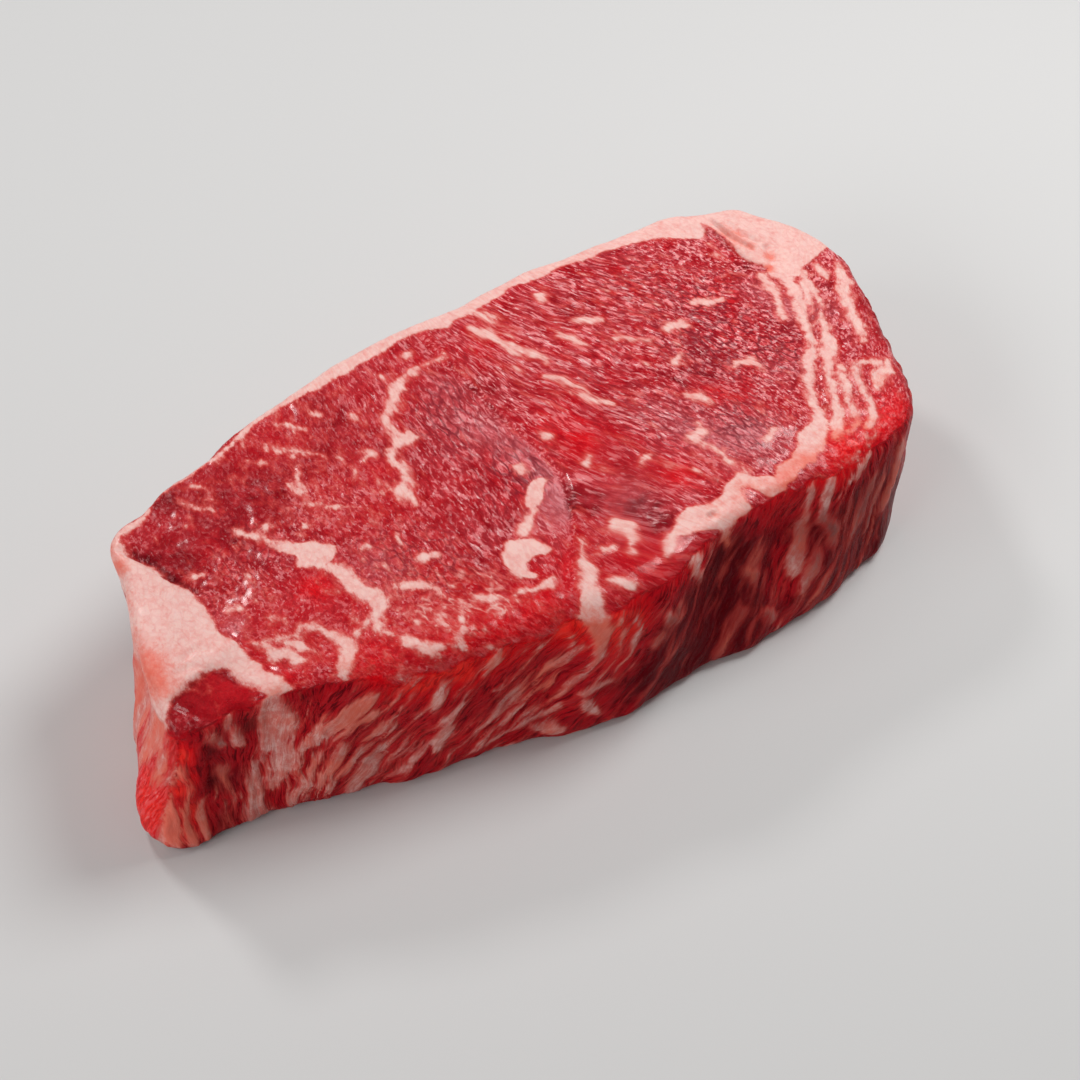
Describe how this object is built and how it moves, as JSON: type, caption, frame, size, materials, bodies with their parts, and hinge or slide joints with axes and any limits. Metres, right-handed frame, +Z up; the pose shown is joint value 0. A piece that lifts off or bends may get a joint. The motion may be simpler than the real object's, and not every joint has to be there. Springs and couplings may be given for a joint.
{
  "type": "raw sirloin steak",
  "caption": "Thick-cut raw sirloin steak with marbled lean, fat seams, a thin fat rind along its back edge and a fatty narrow end; it lies flat on a cut face.",
  "frame": {"origin": "under the middle of the steak, on the surface that it rests on", "axes": "+X along the steak from its narrow fat end to its round end, +Y from the marbled front wall to the back edge with the rind, +Z up out of the upper cut face"},
  "size_m": [0.2194, 0.106, 0.0435],
  "materials": {
    "raw_beef": "raw beef, moist satin with a fine wet sparkle, deep red lean with pale pink and cream fat"
  },
  "bodies": {
    "root": {"steak": "raw_beef"}
  },
  "joints": []
}
